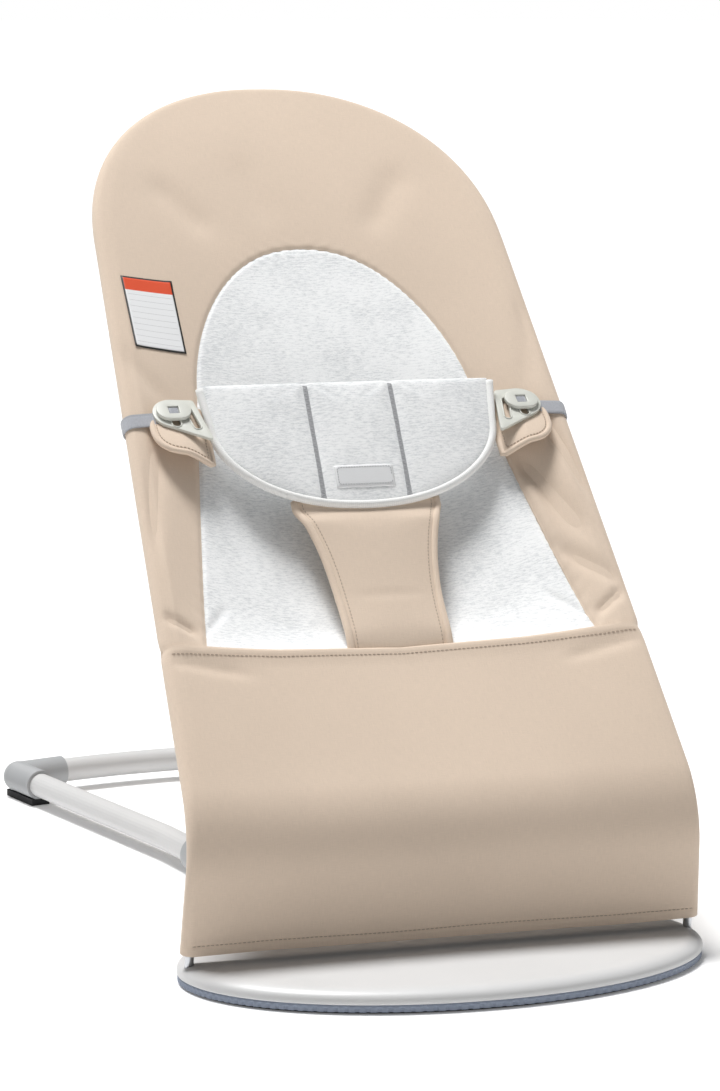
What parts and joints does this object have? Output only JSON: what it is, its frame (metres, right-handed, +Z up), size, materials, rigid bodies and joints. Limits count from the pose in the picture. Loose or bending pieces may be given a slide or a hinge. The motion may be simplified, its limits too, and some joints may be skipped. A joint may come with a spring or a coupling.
{
  "type": "baby bouncer seat",
  "caption": "Reclined fabric baby bouncer: sling on a bent wire loop hinged in an oval plate, held by a folding brace on a tubular floor frame.",
  "frame": {"origin": "on the floor under the middle of the object's bounding box", "axes": "+Z up, the sitter faces -Y (front plate at -Y, head end towards +Y), +X to the right when looking at the seat from the front"},
  "size_m": [0.38, 0.7864, 0.5995],
  "materials": {
    "plate_paint": "satin paint",
    "grip_strip": "matte",
    "black_rubber": "matte",
    "dark_plastic": "matte",
    "grey_plastic": "satin",
    "steel_screws": "satin",
    "painted_tube": "satin powder coat",
    "grip_rubber": "matte",
    "steel_wire": "bright zinc",
    "beige_cotton": "woven cotton",
    "melange_jersey": "melange knit",
    "white_satin": "satin ribbon",
    "clip_plastic": "satin",
    "grey_webbing": "knitted elastic"
  },
  "bodies": {
    "base": {"base_plate": "plate_paint", "plate_edge_strip": "grip_strip", "plate_sole": "black_rubber", "hinge_bearing_left": "dark_plastic", "hinge_bearing_right": "dark_plastic", "leg_socket_left": "grey_plastic", "leg_socket_right": "grey_plastic", "socket_screws": "steel_screws", "floor_leg_left": "painted_tube", "floor_leg_right": "painted_tube", "rear_cross_tube": "painted_tube", "corner_elbow_left": "grey_plastic", "corner_elbow_right": "grey_plastic", "foot_pad_left": "black_rubber", "foot_pad_right": "black_rubber", "brace_bracket_left": "grey_plastic", "brace_bracket_right": "grey_plastic"},
    "seat": {"hinge_rod": "steel_wire", "seat_frame_wire": "steel_wire", "notch_rack_left": "dark_plastic", "notch_rack_right": "dark_plastic", "sling_side_cover": "beige_cotton", "sling_centre_panel": "melange_jersey", "sling_lower_panel": "beige_cotton", "sling_back_panel": "beige_cotton", "crotch_panel": "beige_cotton", "waist_band": "melange_jersey", "band_patch": "white_satin", "care_label": "white_satin", "clip_left": "clip_plastic", "clip_right": "clip_plastic", "clip_tab_left": "beige_cotton", "clip_tab_right": "beige_cotton", "webbing_left": "grey_webbing", "webbing_right": "grey_webbing"},
    "brace": {"brace_bow": "painted_tube", "brace_grip": "grip_rubber", "brace_hub_left": "grey_plastic", "brace_hub_right": "grey_plastic"},
    "toggle_left": {"toggle_left": "clip_plastic"},
    "toggle_right": {"toggle_right": "clip_plastic"}
  },
  "joints": [
    {"name": "seat_fold", "type": "hinge", "parent": "base", "child": "seat", "pos_m": [0, -0.279, 0.0082], "axis": [1, 0, 0], "range_deg": [-45.5, 0]},
    {"name": "brace_fold", "type": "hinge", "parent": "base", "child": "brace", "pos_m": [0, 0.02, 0.032], "axis": [1, 0, 0], "range_deg": [-87, 0]},
    {"name": "toggle_slide_left", "type": "slide", "parent": "seat", "child": "toggle_left", "axis": [0, -0.8339, -0.5519], "range_m": [0, 0.008]},
    {"name": "toggle_slide_right", "type": "slide", "parent": "seat", "child": "toggle_right", "axis": [0, -0.8339, -0.5519], "range_m": [0, 0.008]}
  ],
  "couplings": [
    {"joint": "brace_fold", "follows": "seat_fold", "ratio": 1.9066}
  ]
}
